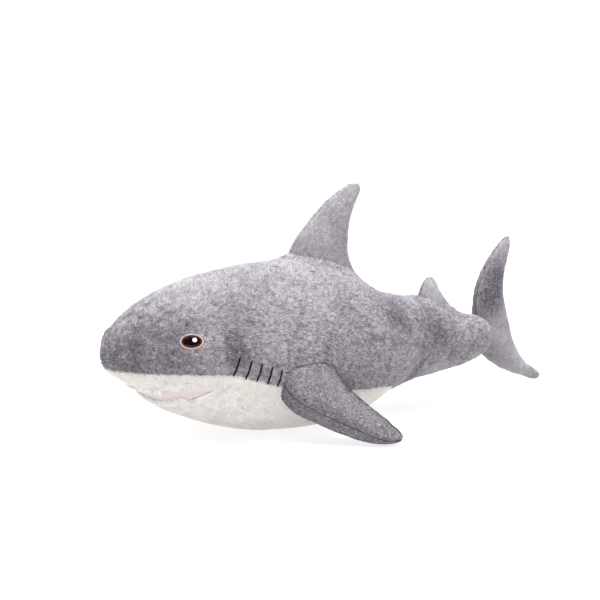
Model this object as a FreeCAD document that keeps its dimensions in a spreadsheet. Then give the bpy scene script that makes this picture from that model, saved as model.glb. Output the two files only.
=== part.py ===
import FreeCAD, Part
import math
import os

import Sketcher
from FreeCAD import Placement, Rotation, Vector

# A plush shark, nose towards -Y, its left side towards +X, lying on its belly on the
# plane Z = 0. Every shell is one fabric panel, and every filled form is stuffing.
# All sizes are in millimetres and all angles in degrees.

SIZES = {
    # Fabric
    "skin": 3,
    "seam_gap": 0.4,
    "thread_rise": 1.2,
    "reach": 400,
    # Edge between the grey back and the white belly, seen from the side
    "seam_front_z": 84,
    "seam_bend_y": -262,
    "seam_bend_z": 83,
    "seam_flank_y": -152,
    "seam_flank_z": 55,
    "seam_end_y": 50,
    "seam_end_z": 18,
    # Mouth, a wedge between the palate and the lower jaw
    "mouth_corner_y": -222,
    "mouth_corner_z": 61,
    "mouth_front_y": -310,
    "palate_front_z": 66,
    "jaw_front_z": 6,
    "lining": 2,
    # Lower jaw, turning about a crosswise axis at the mouth corner
    "jaw_rear_y": -229,
    "jaw_rear_z": 57,
    "jaw_foot_y": -209,
    "throat_foot_y": -180,
    "foot_z": -20,
    # Felt teeth, in two arcs behind the lips
    "tooth_width": 7.5,
    "tooth_root": 1,
    "felt": 1.5,
    "upper_arc_x": 60,
    "upper_arc_y": 52,
    "lower_arc_x": 50,
    "lower_arc_y": 16,
    "tooth_spread": 60,
    # Embroidered eye, on the side of the head
    "eye_x": 66,
    "eye_y": -248,
    "eye_z": 111,
    "eye_turn": 24,
    "eye_lift": 8,
    "eye_length": 22.5,
    "eye_height": 15,
    "outline_width": 1.4,
    "iris_width": 1.9,
    "glint_radius": 2,
    "glint_back": 3,
    "glint_up": 1.5,
    # Gill slits, straight satin stitches
    "gill_first_y": -205,
    "gill_first_z": 85,
    "gill_step_y": 11.5,
    "gill_step_z": -4,
    "gill_length": 19,
    "gill_width": 2,
    "gill_slant": 23,
    # Tail root, turning about an upright axis
    "tail_pivot_y": 100,
    "tail_ball": 47,
    "tail_clearance": 0.6,
    "horn_end_y": 86,
    "stump_end_y": 187,
    # Dorsal fin, turning about its root line, which slopes down towards the tail
    "dorsal_front_y": -96,
    "dorsal_front_z": 187,
    "dorsal_rear_y": 22,
    "dorsal_rear_z": 150,
    "dorsal_barrel": 13,
    "dorsal_socket": 15.5,
    # Pectoral fins, turning about their root lines
    "pectoral_root_x": 88,
    "pectoral_root_y": -97,
    "pectoral_root_z": 56,
    "pectoral_droop": 46,
    "pectoral_barrel": 15,
    "pectoral_socket": 16.5,
    "pectoral_root_front": -59,
    "pectoral_root_length": 84,
}

# Body stations: distance along the body, top, bottom and half of the width.
BODY = [
    ("nose", -300, 106, 84, 12),
    ("snout", -292, 123, 74, 34),
    ("muzzle", -272, 140, 59, 56),
    ("brow", -240, 156, 35, 73),
    ("cheek", -200, 168, 19, 83),
    ("gill", -150, 174, 4, 88),
    ("chest", -90, 178, -3, 90),
    ("waist", -30, 166, 1, 84),
    ("flank", 30, 142, 22, 66),
    ("hip", 90, 124, 32, 49),
    ("stalk", 150, 103, 37, 34),
    ("stump", 187, 99, 44, 25),
]

# Fin stations: height, front edge, rear edge and thickness.
DORSAL = [
    ("root", 150, -92, 14, 26),
    ("base", 175, -86, -3, 25),
    ("lower", 197, -73, -4, 22),
    ("middle", 218, -53, 1, 18),
    ("upper", 238, -30, 8, 13),
    ("tip", 251, -3, 11, 7),
]
REAR_DORSAL = [
    ("root", 100, 92, 152, 16),
    ("base", 122, 99, 137, 14),
    ("middle", 135, 104, 130, 11),
    ("tip", 144, 111, 126, 7),
]
TAIL_FIN = [
    ("low_tip", 13, 281, 300, 7),
    ("low_outer", 24, 252, 291, 13),
    ("low_inner", 40, 222, 273, 20),
    ("root", 62, 191, 257, 22),
    ("centre", 85, 189, 248, 22),
    ("shoulder", 108, 189, 239, 20),
    ("high_inner", 135, 195, 237, 17),
    ("high_outer", 162, 212, 243, 12),
    ("high_tip", 183, 235, 249, 7),
]
# For the pectoral fin the height is the distance outwards from its root line.
PECTORAL = [
    ("heel", -20, -52, 14, 28),
    ("root", 0, -54, 18, 30),
    ("middle", 28, -34, 30, 33),
    ("outer", 54, -6, 42, 27),
    ("tip", 73, 15, 46, 10),
]

UPPER_TEETH = 15
LOWER_TEETH = 11
GILLS = 5
LEFT = 1
RIGHT = -1

doc = FreeCAD.newDocument("plush_shark")
sheet = doc.addObject("Spreadsheet::Sheet", "Sizes")


# --- Sheet -------------------------------------------------------------------


def fill_sheet():
    values = dict(SIZES)
    for name, along, top, bottom, half_width in BODY:
        values["body_%s_y" % name] = along
        values["body_%s_top" % name] = top
        values["body_%s_bottom" % name] = bottom
        values["body_%s_side" % name] = half_width
    fins = {"dorsal": DORSAL, "rear": REAR_DORSAL, "tail": TAIL_FIN, "pectoral": PECTORAL}
    for fin, stations in fins.items():
        for name, height, front, rear, thickness in stations:
            values["%s_%s_up" % (fin, name)] = height
            values["%s_%s_front" % (fin, name)] = front
            values["%s_%s_rear" % (fin, name)] = rear
            values["%s_%s_thick" % (fin, name)] = thickness
    for row, (name, value) in enumerate(values.items(), start=1):
        sheet.set("A%d" % row, name)
        sheet.set("B%d" % row, str(value))
        sheet.setAlias("B%d" % row, name)
    doc.recompute()


def size(name):
    return float(sheet.get(name))


def bind(feature, **expressions):
    for prop, expression in expressions.items():
        feature.setExpression(prop.replace("__", "."), expression)


# --- Building blocks ---------------------------------------------------------


def named(feature, label):
    feature.Label = label
    return feature


def cut(base, tool, label):
    feature = doc.addObject("Part::Cut", label)
    feature.Base = base
    feature.Tool = tool
    return named(feature, label)


def common(base, tool, label):
    feature = doc.addObject("Part::Common", label)
    feature.Base = base
    feature.Tool = tool
    return named(feature, label)


def fuse(shapes, label):
    feature = doc.addObject("Part::MultiFuse", label)
    feature.Shapes = shapes
    return named(feature, label)


def mirrored(source, label):
    feature = doc.addObject("Part::Mirroring", label)
    feature.Source = source
    feature.Normal = Vector(1, 0, 0)
    return named(feature, label)


def loft(sections, label):
    feature = doc.addObject("Part::Loft", label)
    feature.Sections = sections
    feature.Solid = True
    return named(feature, label)


def box(label, length, width, height, x="0", y="0", z="0"):
    feature = doc.addObject("Part::Box", label)
    bind(feature, Length=length, Width=width, Height=height)
    bind(feature, Placement__Base__x=x, Placement__Base__y=y, Placement__Base__z=z)
    return named(feature, label)


def half_space(label, side):
    """Everything on one side of the middle plane, leaving the seam free."""
    start = "Sizes.seam_gap / 2" if side == LEFT else "-Sizes.reach - Sizes.seam_gap / 2"
    return box(label, "Sizes.reach", "2 * Sizes.reach", "2 * Sizes.reach",
               start, "-Sizes.reach", "-Sizes.reach")


def rod(label, radius, length, turn):
    """A cylinder whose axis is tipped over from +Z by a turn about X."""
    feature = doc.addObject("Part::Cylinder", label)
    bind(feature, Radius=radius, Height=length)
    feature.Placement.Rotation = Rotation(Vector(1, 0, 0), turn)
    return named(feature, label)


def side_profile(label, corners):
    """A block with this outline in the side view, running right across the toy."""
    sketch = doc.addObject("Sketcher::SketchObject", label + "_outline")
    sketch.Placement.Rotation = Rotation(Vector(0, 1, 0), Vector(0, 0, 1), Vector(1, 0, 0))
    count = len(corners)
    for index, (along, up) in enumerate(corners):
        start = Vector(sheet_value(along), sheet_value(up))
        after = corners[(index + 1) % count]
        end = Vector(sheet_value(after[0]), sheet_value(after[1]))
        sketch.addGeometry(Part.LineSegment(start, end))
    for index, (along, up) in enumerate(corners):
        sketch.addConstraint(Sketcher.Constraint("Coincident", index, 2, (index + 1) % count, 1))
        for kind, expression in (("DistanceX", along), ("DistanceY", up)):
            number = sketch.addConstraint(
                Sketcher.Constraint(kind, index, 1, sheet_value(expression)))
            sketch.setExpression("Constraints[%d]" % number, expression)
    block = doc.addObject("Part::Extrusion", label)
    block.Base = sketch
    block.DirMode = "Normal"
    block.Symmetric = True
    block.Solid = True
    bind(block, LengthFwd="2 * Sizes.reach")
    return named(block, label)


def sheet_value(expression):
    """The number that a sum of sheet values comes to."""
    total = 0.0
    sign = 1
    for word in expression.split():
        if word in "+-":
            sign = 1 if word == "+" else -1
        else:
            total += sign * size(word.replace("Sizes.", ""))
    return total


# --- Body forms --------------------------------------------------------------


def body_section(station, inset, shift, label):
    """One oval across the body. A tall oval is turned so its long axis stands up."""
    name, along, top, bottom, half_width = station
    key = "Sizes.body_%s_" % name
    ellipse = doc.addObject("Part::Ellipse", "%s_%s" % (label, name))
    height = "(%stop - %sbottom) / 2 - %s" % (key, key, inset)
    width = "%sside - %s" % (key, inset)
    flat = Rotation(Vector(1, 0, 0), 90)
    if (top - bottom) / 2 > half_width:
        bind(ellipse, MajorRadius=height, MinorRadius=width)
        ellipse.Placement.Rotation = flat * Rotation(Vector(0, 0, 1), 90)
    else:
        bind(ellipse, MajorRadius=width, MinorRadius=height)
        ellipse.Placement.Rotation = flat
    bind(ellipse, Placement__Base__y="%sy + %s" % (key, shift),
         Placement__Base__z="(%stop + %sbottom) / 2" % (key, key))
    return ellipse


def body_form(label, inset, floor):
    """The body offset inwards by the inset, pressed flat where it lies on the floor."""
    sections = []
    for station in BODY:
        shift = "0"
        if station is BODY[0]:
            shift = inset
        if station is BODY[-1]:
            shift = "-(%s)" % inset
        sections.append(body_section(station, inset, shift, label))
    shape = loft(sections, label + "_loft")
    floor_block = box(label + "_floor", "Sizes.reach", "2 * Sizes.reach", "Sizes.reach",
                      "-Sizes.reach / 2", "-Sizes.reach", "%s - Sizes.reach" % floor)
    return cut(shape, floor_block, label)


def fin_form(label, fin, stations, inset):
    """A fin of level ovals, offset inwards by the inset."""
    sections = []
    for name, height, front, rear, thickness in stations:
        key = "Sizes.%s_%s_" % (fin, name)
        ellipse = doc.addObject("Part::Ellipse", "%s_%s" % (label, name))
        shift = "0"
        if name == stations[0][0]:
            shift = inset
        if name == stations[-1][0]:
            shift = "-(%s)" % inset
        bind(ellipse, MajorRadius="(%srear - %sfront) / 2 - %s" % (key, key, inset),
             MinorRadius="%sthick / 2 - %s" % (key, inset),
             Placement__Base__y="(%srear + %sfront) / 2" % (key, key),
             Placement__Base__z="%sup + %s" % (key, shift))
        ellipse.Placement.Rotation = Rotation(Vector(0, 0, 1), 90)
        sections.append(ellipse)
    return loft(sections, label)


# --- Regions that divide the body ---------------------------------------------


def white_zone():
    return side_profile("white_zone", [
        ("Sizes.mouth_front_y", "Sizes.seam_front_z"),
        ("Sizes.seam_bend_y", "Sizes.seam_bend_z"),
        ("Sizes.seam_flank_y", "Sizes.seam_flank_z"),
        ("Sizes.seam_end_y", "Sizes.seam_end_z"),
        ("Sizes.seam_end_y", "Sizes.foot_z"),
        ("Sizes.mouth_front_y", "Sizes.foot_z"),
    ])


def throat_zone():
    """All that the lower jaw and the open mouth need, taken out of the body."""
    return side_profile("throat_zone", [
        ("Sizes.mouth_corner_y", "Sizes.mouth_corner_z + Sizes.lining"),
        ("Sizes.mouth_front_y", "Sizes.palate_front_z + Sizes.lining"),
        ("Sizes.mouth_front_y", "Sizes.foot_z"),
        ("Sizes.throat_foot_y", "Sizes.foot_z"),
    ])


def jaw_zone():
    return side_profile("jaw_zone", [
        ("Sizes.jaw_rear_y", "Sizes.jaw_rear_z"),
        ("Sizes.mouth_front_y", "Sizes.jaw_front_z - Sizes.lining"),
        ("Sizes.mouth_front_y", "Sizes.foot_z"),
        ("Sizes.jaw_foot_y", "Sizes.foot_z"),
    ])


def palate_zone():
    return side_profile("palate_zone", [
        ("Sizes.mouth_corner_y", "Sizes.mouth_corner_z + Sizes.lining"),
        ("Sizes.mouth_front_y", "Sizes.palate_front_z + Sizes.lining"),
        ("Sizes.mouth_front_y", "Sizes.palate_front_z"),
        ("Sizes.mouth_corner_y", "Sizes.mouth_corner_z"),
    ])


def tongue_zone():
    return side_profile("tongue_zone", [
        ("Sizes.jaw_rear_y", "Sizes.jaw_rear_z + Sizes.lining"),
        ("Sizes.mouth_front_y", "Sizes.jaw_front_z"),
        ("Sizes.mouth_front_y", "Sizes.jaw_front_z - Sizes.lining"),
        ("Sizes.jaw_rear_y", "Sizes.jaw_rear_z"),
    ])


def tail_zone(label, radius, start):
    """The rear of the body with a round front that turns about the tail pivot."""
    ball = rod(label + "_ball", radius, "Sizes.reach", 0)
    bind(ball, Placement__Base__y="Sizes.tail_pivot_y")
    rear = box(label + "_rear", "Sizes.reach", "Sizes.reach", "Sizes.reach",
               "-Sizes.reach / 2", start, "0")
    return fuse([ball, rear], label)


def dorsal_rod(label, radius):
    """A rod along the root line of the dorsal fin."""
    along = size("dorsal_rear_y") - size("dorsal_front_y")
    drop = size("dorsal_front_z") - size("dorsal_rear_z")
    slope = math.degrees(math.atan2(drop, along))
    root = rod(label, radius, str(math.hypot(along, drop)), -90 - slope)
    bind(root, Placement__Base__y="Sizes.dorsal_front_y",
         Placement__Base__z="Sizes.dorsal_front_z")
    return root


def pectoral_socket(label, side):
    socket = rod(label, "Sizes.pectoral_socket", "Sizes.pectoral_root_length", -90)
    bind(socket, Placement__Base__x="%d * Sizes.pectoral_root_x" % side,
         Placement__Base__y="Sizes.pectoral_root_y + Sizes.pectoral_root_front",
         Placement__Base__z="Sizes.pectoral_root_z")
    return socket


# --- Sub-parts -----------------------------------------------------------------


def body_parts(outer, inner, halves):
    """The front body: two grey panels, the belly, the upper lip and the stuffing."""
    white = white_zone()
    taken = fuse([
        throat_zone(),
        tail_zone("tail_space", "Sizes.tail_ball + Sizes.tail_clearance", "Sizes.horn_end_y"),
        dorsal_rod("dorsal_socket", "Sizes.dorsal_socket"),
        pectoral_socket("pectoral_socket_left", LEFT),
        pectoral_socket("pectoral_socket_right", RIGHT),
    ], "body_spaces")
    stuffing = cut(inner, taken, "body_stuffing")
    skin = cut(cut(outer, inner, "body_skin"), taken, "front_skin")
    grey = cut(skin, white, "grey_skin")
    pale = common(skin, white, "white_skin")
    lip_block = box("lip_block", "Sizes.reach", "Sizes.mouth_corner_y + Sizes.reach",
                    "Sizes.reach", "-Sizes.reach / 2", "-Sizes.reach", "-Sizes.reach / 2")
    return [
        stuffing,
        common(grey, halves[LEFT], "back_panel_left"),
        common(grey, halves[RIGHT], "back_panel_right"),
        cut(pale, lip_block, "belly_panel"),
        common(pale, lip_block, "upper_lip_panel"),
        common(inner, palate_zone(), "mouth_lining_upper"),
    ]


def jaw_parts(outer, inner):
    zone = jaw_zone()
    jaw = common(outer, zone, "jaw_form")
    return [
        cut(jaw, inner, "chin_panel"),
        common(inner, zone, "jaw_stuffing"),
        common(inner, tongue_zone(), "mouth_lining_lower"),
    ]


def tail_parts(outer, inner, halves):
    zone = tail_zone("tail_zone", "Sizes.tail_ball", "Sizes.tail_pivot_y")
    skin = common(cut(outer, inner, "rear_skin"), zone, "tail_skin")
    fin = fin_form("rear_dorsal_form", "rear", REAR_DORSAL, "0")
    return [
        common(inner, zone, "tail_stuffing"),
        common(skin, halves[LEFT], "tail_panel_left"),
        common(skin, halves[RIGHT], "tail_panel_right"),
        cut(fin, outer, "rear_dorsal_fin"),
    ]


def fin_parts(fin, stations, zone, panels, stuffing):
    """Two panels and the stuffing of a fin; the first panel is on its +X side."""
    outer = fin_form(fin + "_form", fin, stations, "0")
    inner = fin_form(fin + "_core", fin, stations, "Sizes.skin")
    skin = common(cut(outer, inner, fin + "_shell"), zone, fin + "_skin")
    made = [common(skin, half_space(panel + "_half", side), panel)
            for panel, side in zip(panels, (LEFT, RIGHT))]
    return made + [common(inner, zone, stuffing)]


def tail_fin_parts():
    """The tail fin, whose rounded front edge turns just behind the stump."""
    behind = box("tail_fin_zone", "Sizes.reach", "Sizes.reach", "Sizes.reach",
                 "-Sizes.reach / 2", "Sizes.stump_end_y")
    return fin_parts("tail", TAIL_FIN, behind,
                     ["tail_fin_panel_left", "tail_fin_panel_right"], "tail_fin_stuffing")


def dorsal_parts():
    """The dorsal fin, kept above its root line but for the round barrel there."""
    above = side_profile("dorsal_above", [
        ("Sizes.dorsal_front_y", "Sizes.dorsal_front_z"),
        ("Sizes.dorsal_front_y", "Sizes.reach"),
        ("Sizes.dorsal_rear_y", "Sizes.reach"),
        ("Sizes.dorsal_rear_y", "Sizes.dorsal_rear_z"),
    ])
    zone = fuse([above, dorsal_rod("dorsal_barrel", "Sizes.dorsal_barrel")], "dorsal_zone")
    return fin_parts("dorsal", DORSAL, zone,
                     ["dorsal_panel_left", "dorsal_panel_right"], "dorsal_stuffing")


def pectoral_parts():
    """The left pectoral fin, built upright on its root line and then turned to droop."""
    barrel = rod("pectoral_barrel", "Sizes.pectoral_barrel", "Sizes.pectoral_root_length", -90)
    bind(barrel, Placement__Base__y="Sizes.pectoral_root_front")
    outside = box("pectoral_outside", "Sizes.reach", "Sizes.reach", "Sizes.reach",
                  "-Sizes.reach / 2", "-Sizes.reach / 2")
    zone = fuse([outside, barrel], "pectoral_zone")
    made = fin_parts("pectoral", PECTORAL, zone,
                     ["pectoral_bottom_left", "pectoral_top_left"], "pectoral_stuffing_left")
    root = Placement(
        Vector(size("pectoral_root_x"), size("pectoral_root_y"), size("pectoral_root_z")),
        Rotation(Vector(0, 1, 0), 90 + size("pectoral_droop")))
    for node in made:
        node.Placement = root
    return made


def teeth(label, count, arc, line, bed, points_down):
    """Felt teeth on an arc behind the lip, their roots bedded in the lining of the mouth.

    The arc is its half axes and its middle in Y; the line is the height of the lining
    at that middle and at the front of the mouth.
    """
    half_x, half_y, middle_y = arc
    rear_z, front_z = line
    point = Vector(0, 0, -1) if points_down else Vector(0, 0, 1)
    radius = size("tooth_width") / math.sqrt(3)
    spread = size("tooth_spread")
    run = middle_y - size("mouth_front_y")
    prisms = []
    for index in range(count):
        angle = math.radians(spread * (2 * index / (count - 1) - 1))
        along = middle_y - half_y * math.cos(angle)
        out = Vector(math.sin(angle) / half_x, -math.cos(angle) / half_y, 0).normalize()
        rise = rear_z + (front_z - rear_z) * (middle_y - along) / run
        root = Vector(half_x * math.sin(angle), along, rise)
        prism = doc.addObject("Part::Prism", "%s_%d" % (label, index + 1))
        prism.Polygon = 3
        bind(prism, Circumradius="Sizes.tooth_width / sqrt(3)", Height="Sizes.felt")
        middle = root + point * (radius / 2 - size("tooth_root"))
        prism.Placement = Placement(middle - out * (size("felt") / 2),
                                    Rotation(point, Vector(), out, "ZXY"))
        prisms.append(prism)
    return cut(fuse(prisms, label + "_row"), bed, label)


def upper_teeth(bed):
    arc = (size("upper_arc_x"), size("upper_arc_y"), size("mouth_corner_y"))
    line = (size("mouth_corner_z"), size("palate_front_z"))
    return teeth("upper_teeth", UPPER_TEETH, arc, line, bed, True)


def lower_teeth(bed):
    arc = (size("lower_arc_x"), size("lower_arc_y"), size("jaw_rear_y"))
    line = (size("jaw_rear_z") + size("lining"), size("jaw_front_z"))
    return teeth("lower_teeth", LOWER_TEETH, arc, line, bed, False)


def eye_column(label, half_length, half_height, back=0, up=0):
    """An oval column through the side of the head, square to the skin at the eye."""
    turn = math.radians(size("eye_turn"))
    lift = math.radians(size("eye_lift"))
    out = Vector(math.cos(turn) * math.cos(lift), -math.sin(turn) * math.cos(lift),
                 math.sin(lift))
    rear = Vector(math.sin(turn), math.cos(turn), 0)
    oval = doc.addObject("Part::Ellipse", label + "_oval")
    bind(oval, MajorRadius=half_length, MinorRadius=half_height)
    middle = Vector(size("eye_x"), size("eye_y"), size("eye_z"))
    middle += rear * back + out.cross(rear) * up
    oval.Placement = Placement(middle, Rotation(rear, Vector(), out, "ZXY"))
    column = doc.addObject("Part::Extrusion", label)
    column.Base = oval
    column.DirMode = "Normal"
    column.Symmetric = True
    column.Solid = True
    bind(column, LengthFwd="Sizes.eye_length")
    return named(column, label)


def eye_parts(thread):
    """Four fields of embroidery: the outline, the iris, the pupil and the glint."""
    half_length = "Sizes.eye_length / 2"
    half_height = "Sizes.eye_height / 2"
    outline = eye_column("eye_outline_column", half_length, half_height)
    inset = " - Sizes.outline_width"
    iris = eye_column("eye_iris_column", half_length + inset, half_height + inset)
    inset += " - Sizes.iris_width"
    pupil = eye_column("eye_pupil_column", half_length + inset, half_height + inset)
    glint = eye_column("eye_glint_column", "Sizes.glint_radius", "Sizes.glint_radius",
                       size("glint_back"), size("glint_up"))
    fields = [("eye_outline_left", outline, iris), ("eye_iris_left", iris, pupil),
              ("eye_pupil_left", pupil, glint)]
    made = [common(cut(whole, hole, label + "_field"), thread, label)
            for label, whole, hole in fields]
    return made + [common(glint, thread, "eye_glint_left")]


def gill_stitches(thread):
    """Straight stitches in a row behind the cheek, their tops leaning back."""
    slant = Rotation(Vector(1, 0, 0), -size("gill_slant"))
    half = Vector(0, size("gill_width") / 2, size("gill_length") / 2)
    slits = []
    for index in range(GILLS):
        slit = box("gill_slit_%d" % (index + 1), "Sizes.reach", "Sizes.gill_width",
                   "Sizes.gill_length")
        slit.setExpression("Placement.Base.x", None)
        slit.setExpression("Placement.Base.y", None)
        slit.setExpression("Placement.Base.z", None)
        middle = Vector(0, size("gill_first_y") + index * size("gill_step_y"),
                        size("gill_first_z") + index * size("gill_step_z"))
        slit.Placement = Placement(middle - slant.multVec(half), slant)
        slits.append(slit)
    return common(fuse(slits, "gill_slits"), thread, "gill_stitches_left")


# --- Assembly --------------------------------------------------------------------


def mirrored_nodes(nodes):
    return [mirrored(node, node.Label.replace("_left", "_right")) for node in nodes]


def build():
    halves = {LEFT: half_space("left_half", LEFT), RIGHT: half_space("right_half", RIGHT)}
    outer = body_form("body_outer", "0", "0")
    inner = body_form("body_inner", "Sizes.skin", "Sizes.skin")
    raised = body_form("body_raised", "-Sizes.thread_rise", "0")
    thread = cut(raised, outer, "thread_layer")
    nodes = body_parts(outer, inner, halves)
    palate = nodes[-1]
    jaw = jaw_parts(outer, inner)
    gum = fuse(jaw[1:], "lower_gum")
    nodes += jaw
    nodes += [upper_teeth(palate), lower_teeth(gum)]
    embroidery = eye_parts(thread) + [gill_stitches(thread)]
    nodes += embroidery + mirrored_nodes(embroidery)
    nodes += tail_parts(outer, inner, halves)
    nodes += tail_fin_parts()
    nodes += dorsal_parts()
    pectoral = pectoral_parts()
    nodes += pectoral + mirrored_nodes(pectoral)
    return nodes


def check(nodes):
    for feature in doc.Objects:
        if "Invalid" in feature.State or "Error" in feature.State:
            raise RuntimeError("%s did not recompute" % feature.Label)
    for node in nodes:
        if node.Shape.isNull() or not node.Shape.isValid() or not node.Shape.Solids:
            raise RuntimeError("%s has no valid solid" % node.Label)


def write(nodes):
    os.makedirs("parts", exist_ok=True)
    for node in nodes:
        node.Shape.exportStep("parts/%s.step" % node.Label)


fill_sheet()
parts = build()
doc.recompute()
check(parts)
write(parts)
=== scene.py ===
import math
from collections import namedtuple

import bmesh
import bpy
import numpy as np
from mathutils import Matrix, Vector
from mathutils.bvhtree import BVHTree


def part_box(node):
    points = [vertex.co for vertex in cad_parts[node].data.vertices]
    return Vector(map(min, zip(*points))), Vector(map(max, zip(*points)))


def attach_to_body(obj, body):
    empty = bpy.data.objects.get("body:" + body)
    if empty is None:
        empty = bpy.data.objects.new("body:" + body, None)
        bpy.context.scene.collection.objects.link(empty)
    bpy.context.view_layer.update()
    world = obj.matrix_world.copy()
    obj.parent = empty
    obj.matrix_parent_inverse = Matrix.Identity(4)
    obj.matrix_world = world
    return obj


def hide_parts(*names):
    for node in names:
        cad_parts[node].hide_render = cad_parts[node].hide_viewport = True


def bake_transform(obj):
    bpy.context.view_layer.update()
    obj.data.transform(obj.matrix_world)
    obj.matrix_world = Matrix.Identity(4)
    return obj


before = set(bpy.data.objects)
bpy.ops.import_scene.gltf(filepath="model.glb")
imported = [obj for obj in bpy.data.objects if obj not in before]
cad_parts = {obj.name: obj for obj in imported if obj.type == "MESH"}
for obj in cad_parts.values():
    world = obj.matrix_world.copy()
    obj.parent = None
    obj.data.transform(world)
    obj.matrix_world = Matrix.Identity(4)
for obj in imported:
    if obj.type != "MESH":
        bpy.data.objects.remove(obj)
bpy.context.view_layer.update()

MM = 0.001
# The way out to each side, along x.
SIDES = {"left": 1, "right": -1}
rng = np.random.default_rng(7)

# --- Shape of the toy, in millimetres ---

# How far the pile stands out from the cloth, and how high it holds the cloth off the floor.
PILE_DEPTH = 2.6
FLOOR_GAP = 1.6

# Body stations: distance along the body, top, bottom and half of the width.
BODY = [
    (-299, 92, 92, 0),
    (-297, 109, 76, 20),
    (-290, 119, 69, 36),
    (-271, 134, 57, 55),
    (-240, 153, 36, 73),
    (-200, 166, 19, 83),
    (-150, 174, 5, 88),
    (-90, 178, -2, 90),
    (-30, 166, 2, 84),
    (30, 139, 22, 66),
    (75, 129, 31, 53),
    (120, 114, 35, 42),
    (160, 102, 39, 32),
    (188, 98, 46, 25),
    (203, 93, 52, 17),
    (209, 73, 73, 0),
]

# Where the fins on the back stand: middle and half of the length, half of the width, and how
# far the cloth of the back is drawn up round them and over what distance.
FIN_FEET = [(-40, 47, 13, 9, 7), (124, 31, 9, 7, 6)]
# Between these heights the side of the body becomes its back.
BACK_STARTS = (60, 80)
BODY_RINGS = 132
BODY_COLUMNS = 120
# 1 makes the sections of the body ellipses, and less makes them squarer.
ROUNDNESS = 0.95
BELLY_SAG = 2.2

# Edge between the grey back and the white belly: distance along the body and height.
SEAM = [(-310, 82), (-262, 80), (-208, 76), (-152, 60), (-100, 48), (-41, 45), (0, 41),
        (30, 33), (47, 22), (58, 5), (90, -30), (300, -60)]

# Mouth: corner, and the heights of the lip edge and the jaw edge at the front.
MOUTH_CORNER = (-222, 62)
LIP_FRONT = (-300, 61)
JAW_FRONT = (-250, 42)

# Fin stations: height, front edge, rear edge and thickness.
DORSAL = [
    (140, -96, 22, 30),
    (165, -93, 3, 29),
    (180, -85, -2, 28),
    (197, -74, -2, 25),
    (217, -55, 2, 20),
    (236, -33, 11, 15),
    (247, -16, 16, 11),
    (253, -1, 11, 5),
]
REAR_DORSAL = [
    (98, 88, 160, 26),
    (112, 94, 150, 22),
    (124, 98, 139, 18),
    (134, 102, 132, 15),
    (141, 106, 128, 12),
    (146, 113, 122, 5),
]
TAIL_FIN = [
    (10, 290, 299, 5),
    (14, 279, 304, 11),
    (22, 253, 297, 18),
    (33, 228, 278, 26),
    (48, 206, 263, 32),
    (62, 193, 254, 34),
    (78, 189, 248, 34),
    (94, 188, 243, 32),
    (108, 188, 239, 28),
    (123, 190, 236, 25),
    (144, 199, 238, 22),
    (164, 213, 244, 18),
    (178, 226, 248, 13),
    (187, 238, 246, 5),
]
# The pectoral fin goes by the distance out from its root line, and its lower panel is fuller.
PECTORAL = [
    (-22, -54, 13, 38),
    (-6, -58, 16, 42),
    (10, -53, 21, 41),
    (28, -35, 30, 36),
    (46, -15, 38, 33),
    (62, 1, 44, 28),
    (73, 12, 46, 20),
    (80, 24, 41, 8),
]
PECTORAL_FULLNESS = 1.45
# Middle of the root line, and the mean droop and how much it eases along the fin, in degrees.
PECTORAL_ROOT = (88, -97, 56)
PECTORAL_DROOP = 46
PECTORAL_EASE = 14
# A crease near the tip: depth, width and the line it follows before the fin is put in place.
PECTORAL_FOLDS = [(1.2, 3, [(9, 44, 57), (8, 34, 63), (7, 18, 69)])]


# --- Numbers ---


def spline(knots, values, at):
    """A smooth curve through the values, level beyond its ends."""
    knots, values = np.asarray(knots, float), np.asarray(values, float)
    slopes = np.gradient(values, knots)
    at = np.clip(at, knots[0], knots[-1])
    i = np.clip(np.searchsorted(knots, at, side="right") - 1, 0, len(knots) - 2)
    step = knots[i + 1] - knots[i]
    t = (at - knots[i]) / step
    return (
        values[i] * (1 + 2 * t) * (1 - t) ** 2
        + slopes[i] * step * t * (1 - t) ** 2
        + values[i + 1] * t**2 * (3 - 2 * t)
        + slopes[i + 1] * step * t**2 * (t - 1)
    )


def through(stations, count, round_start=False):
    """Rows of station values at even steps along the stations, smoothly joined.

    The last end is rounded, and the first if asked: it gets a mirrored neighbour beyond it, so
    that the skin closes squarely.
    """
    rows = np.array(stations, float)
    mirrored = rows[:, [0, 2, 1, 3]] * (1, 1, 1, -1)
    before = mirrored[1] if round_start else 2 * rows[0] - rows[1]
    rows = np.array([before, *rows, mirrored[-2]])
    knots = np.cumsum(np.r_[0, np.linalg.norm(np.diff(rows, axis=0), axis=1)])
    at = np.linspace(knots[1], knots[-2], count)
    return np.stack([spline(knots, column, at) for column in rows.T], 1)


def lattice(points, scale, seed):
    """Smooth noise from -1 to 1 at each point, the lumps about scale across."""
    cell = points / scale
    base = np.floor(cell).astype(np.int64)
    t = cell - base
    t = t * t * (3 - 2 * t)
    total = np.zeros(len(points))
    for corner in np.ndindex(2, 2, 2):
        at = base + corner
        mix = at[:, 0] * 73856093 ^ at[:, 1] * 19349663 ^ at[:, 2] * 83492791 ^ seed * 2654435
        mix = (mix ^ (mix >> 13)) * 1274126177 & 0x7FFFFFFF
        value = ((mix ^ (mix >> 16)) & 0xFFFF) / 32767.5 - 1
        weight = np.ones(len(points))
        for axis in range(3):
            weight *= t[:, axis] if corner[axis] else 1 - t[:, axis]
        total += value * weight
    return total


def smoothstep(x, low, high):
    """Rises from 0 at low to 1 at high without a corner."""
    t = np.clip((x - low) / (high - low), 0, 1)
    return t * t * (3 - 2 * t)


def bell(x):
    """1 at 0 and fading out on both sides by about 2."""
    return np.exp(-(x**2))


def unit(v):
    return v / np.maximum(np.linalg.norm(v, axis=1, keepdims=True), 1e-9)


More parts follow.
